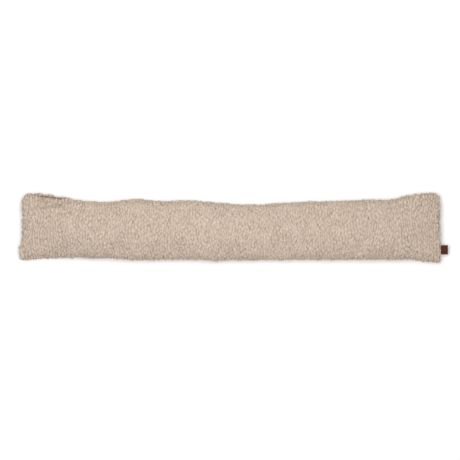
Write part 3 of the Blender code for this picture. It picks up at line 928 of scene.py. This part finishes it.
def folded_label():
    """The folded strip: its section, a thin rectangle with round rims, is carried out along the upper
    leg, round the fold's half circle and back along the lower leg. Both legs bend down as a
    parabola. Gives the points, quads, triangles, each point's pressed depth and the strip's length."""
    straight = LABEL_SHOWS - LABEL_GAP / 2 - LABEL_SHEET
    line_place = straight - BORDER_INSET + LABEL_GAP
    out = np.concatenate([
        np.linspace(-LABEL_ROOT, 0, LABEL_ROOT_POINTS)[:-1],
        np.linspace(0, line_place - BORDER_WIDE, LABEL_LEG_POINTS)[:-1],
        line_place + BORDER_WIDE * np.array(LINE_SHARES),
        [straight],
    ])
    showing = np.maximum(out, 0)
    droop = math.tan(math.radians(LABEL_DROOP_DEG))
    drop = droop * showing**2 / (2 * straight)
    lean = np.arctan(droop * showing / straight)
    base = np.stack([out, -drop], axis=1)
    up = np.stack([np.sin(lean), np.cos(lean)], axis=1)
    turn = np.linspace(0, math.pi, LABEL_FOLD_STEPS + 1)[1:-1, None]
    ahead = np.array([up[-1, 1], -up[-1, 0]])
    fold_side = np.cos(turn) * up[-1] + np.sin(turn) * ahead
    half_gap = (LABEL_GAP + LABEL_SHEET) / 2
    side = np.concatenate([up, fold_side, -up[::-1]])
    legs = np.concatenate([base, np.repeat(base[-1:], len(turn), axis=0), base[::-1]])
    centre = legs + half_gap * side
    length = np.linalg.norm(np.diff(centre, axis=0), axis=1).sum()
    place = np.concatenate([out, np.full(len(turn), np.inf), out[::-1]])[:, None]
    across = lines_across()[None, :]
    rim = LABEL_SHEET / 2
    past = np.clip(np.abs(across) - (LABEL_WIDTH / 2 - rim), 0, rim)
    thick = np.sqrt(rim**2 - past**2)
    inner_line = LABEL_WIDTH / 2 - BORDER_INSET
    inside = (np.abs(across) < inner_line + BORDER_WIDE) & (place < line_place + BORDER_WIDE)
    depth = np.maximum(pressed(np.abs(across) - inner_line), pressed(place - line_place))
    depth = depth * inside * (place > BORDER_FROM)
    outer = thick - BORDER_DEEP * depth
    inner = -np.broadcast_to(thick, outer.shape)
    offset = np.concatenate([outer, inner[:, -2:0:-1]], axis=1)
    y = np.concatenate([across, across[:, -2:0:-1]], axis=1)
    curl = LABEL_CURL * (2 * y / LABEL_WIDTH) ** 2 * np.clip(place, 0, straight) / straight
    x = centre[:, :1] + side[:, :1] * offset
    z = centre[:, 1:] + side[:, 1:] * offset - curl
    points = np.stack([x, np.broadcast_to(y, x.shape), z], axis=2)
    rows, loop = x.shape
    index = np.arange(rows * loop).reshape(rows, loop)
    after = np.roll(index, -1, axis=1)
    sides = np.stack([index[:-1], index[1:], after[1:], after[:-1]], axis=2).reshape(-1, 4)
    k = np.arange(1, loop // 2 - 1)
    cap = np.stack([k, k + 1, loop - 1 - k, loop - k], axis=1)
    rims = np.array([(0, 1, loop - 1), (loop // 2 - 1, loop // 2, loop // 2 + 1)])
    last = (rows - 1) * loop
    quads = np.concatenate([sides, cap, (cap + last)[:, ::-1]])
    triangles = np.concatenate([rims, (rims + last)[:, ::-1]])
    shade = np.concatenate([depth, np.zeros_like(depth)[:, 1:-1]], axis=1)
    return points.reshape(-1, 3), quads, triangles, shade.reshape(-1), length


# Leatherette: a satin pressed skin, so a broad soft gloss breaks up on a fine pebble grain; the
# pressed line is worn a little paler.
LEATHERETTE = "#3B1909"
LEATHERETTE_WORN = "#784832"
GRAIN_SIZE = 0.0007
GRAIN_HIGH = 0.0002
GRAIN_STRENGTH = 0.35
WEAR_SIZE = 0.004
WEAR_STRENGTH = 0.25


def leatherette():
    """The label's material: brown, paler in the pressed line and in soft patches, with a pebble
    grain."""
    material = bpy.data.materials.new("leatherette_pressed_brown")
    material.use_nodes = True
    tree = material.node_tree
    shader = tree.nodes["Principled BSDF"]
    place = add_node(tree, "ShaderNodeTexCoord").outputs["Object"]
    worn = add_node(tree, "ShaderNodeAttribute", {"attribute_name": "pressed"}).outputs["Fac"]
    grain = add_node(tree, "ShaderNodeTexVoronoi", Vector=place, Scale=1 / GRAIN_SIZE)
    patches = add_node(tree, "ShaderNodeTexNoise", Vector=place, Scale=1 / WEAR_SIZE, Detail=3.0)
    mixed = add_node(tree, "ShaderNodeMath", {"operation": "MULTIPLY_ADD", "use_clamp": True})
    tree.links.new(patches.outputs["Fac"], mixed.inputs[0])
    mixed.inputs[1].default_value = WEAR_STRENGTH
    tree.links.new(worn, mixed.inputs[2])
    ramp = add_node(tree, "ShaderNodeValToRGB", Fac=mixed.outputs[0])
    ramp.color_ramp.elements[0].color = linear(LEATHERETTE)
    ramp.color_ramp.elements[1].color = linear(LEATHERETTE_WORN)
    bump = add_node(tree, "ShaderNodeBump", Height=grain.outputs["Distance"], Strength=GRAIN_STRENGTH,
                    Distance=GRAIN_HIGH)
    tree.links.new(ramp.outputs["Color"], shader.inputs["Base Color"])
    tree.links.new(bump.outputs["Normal"], shader.inputs["Normal"])
    shader.inputs["Roughness"].default_value = 0.55
    shader.inputs["Specular IOR Level"].default_value = 0.15
    return material


points, quads, triangles, shade, strip_length = folded_label()
label_place = np.array([LENGTH / 2, LABEL_Y, SEAM_HEIGHT - END_DROOP])
label = new_piece("folded_label", points + label_place + DRAWN_TO_FRAME, quads, triangles)
label.data.materials.append(leatherette())
label_depth = label.data.attributes.new("pressed", "FLOAT", "POINT")
label_depth.data.foreach_set("value", shade.astype(np.float32))
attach(label, "root")
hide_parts("side_label")

# The floor, lights and camera: a plain pale studio floor under a large soft light that hangs over
# the back edge, and a camera straight above with a long lens, the back edge up in the picture.
METRES_ACROSS_PICTURE = 0.983
LOOK_AT = (-0.0027, 0.0)
CAMERA_HEIGHT = 3.2
SENSOR_MM = 36.0
FLOOR_HALF = 6.0
WORLD_STRENGTH = 0.55


def plain_material(name, colour, roughness):
    """A plain matt material for the floor."""
    material = bpy.data.materials.new(name)
    material.use_nodes = True
    shader = material.node_tree.nodes["Principled BSDF"]
    shader.inputs["Base Color"].default_value = linear(colour)
    shader.inputs["Roughness"].default_value = roughness
    return material


floor_corners = FLOOR_HALF * np.array([(-1, -1, 0), (1, -1, 0), (1, 1, 0), (-1, 1, 0)])
floor = new_piece("studio_floor", floor_corners, np.array([(0, 1, 2, 3)]))
floor.data.materials.append(plain_material("floor_paper", "#F7F7F6", 0.9))


def soft_light(name, place, size, power):
    """A large square area light, turned to face the origin, near the cushion's middle."""
    data = bpy.data.lights.new(name, "AREA")
    data.size = size
    data.energy = power
    lamp = bpy.data.objects.new(name, data)
    lamp.location = place
    lamp.rotation_euler = (-Vector(place)).to_track_quat("-Z", "Y").to_euler()
    bpy.context.scene.collection.objects.link(lamp)
    return lamp


soft_light("overhead", place=(-0.02, 0.04, 1.6), size=0.8, power=20.2)
soft_light("over_the_back_left", place=(-0.9, 1.1, 1.1), size=0.5, power=3.7)

world = bpy.data.worlds.new("studio")
world.use_nodes = True
world.node_tree.nodes["Background"].inputs["Color"].default_value = (1.0, 1.0, 1.0, 1.0)
world.node_tree.nodes["Background"].inputs["Strength"].default_value = WORLD_STRENGTH
bpy.context.scene.world = world
bpy.context.scene.view_settings.view_transform = "Standard"

camera_data = bpy.data.cameras.new("straight_above")
camera_data.sensor_width = SENSOR_MM
camera_data.lens = SENSOR_MM * (CAMERA_HEIGHT - SEAM_HEIGHT) / METRES_ACROSS_PICTURE
camera = bpy.data.objects.new("straight_above", camera_data)
camera.location = (LOOK_AT[0] + DRAWN_TO_FRAME[0], LOOK_AT[1] + DRAWN_TO_FRAME[1], CAMERA_HEIGHT)
bpy.context.scene.collection.objects.link(camera)
bpy.context.scene.camera = camera
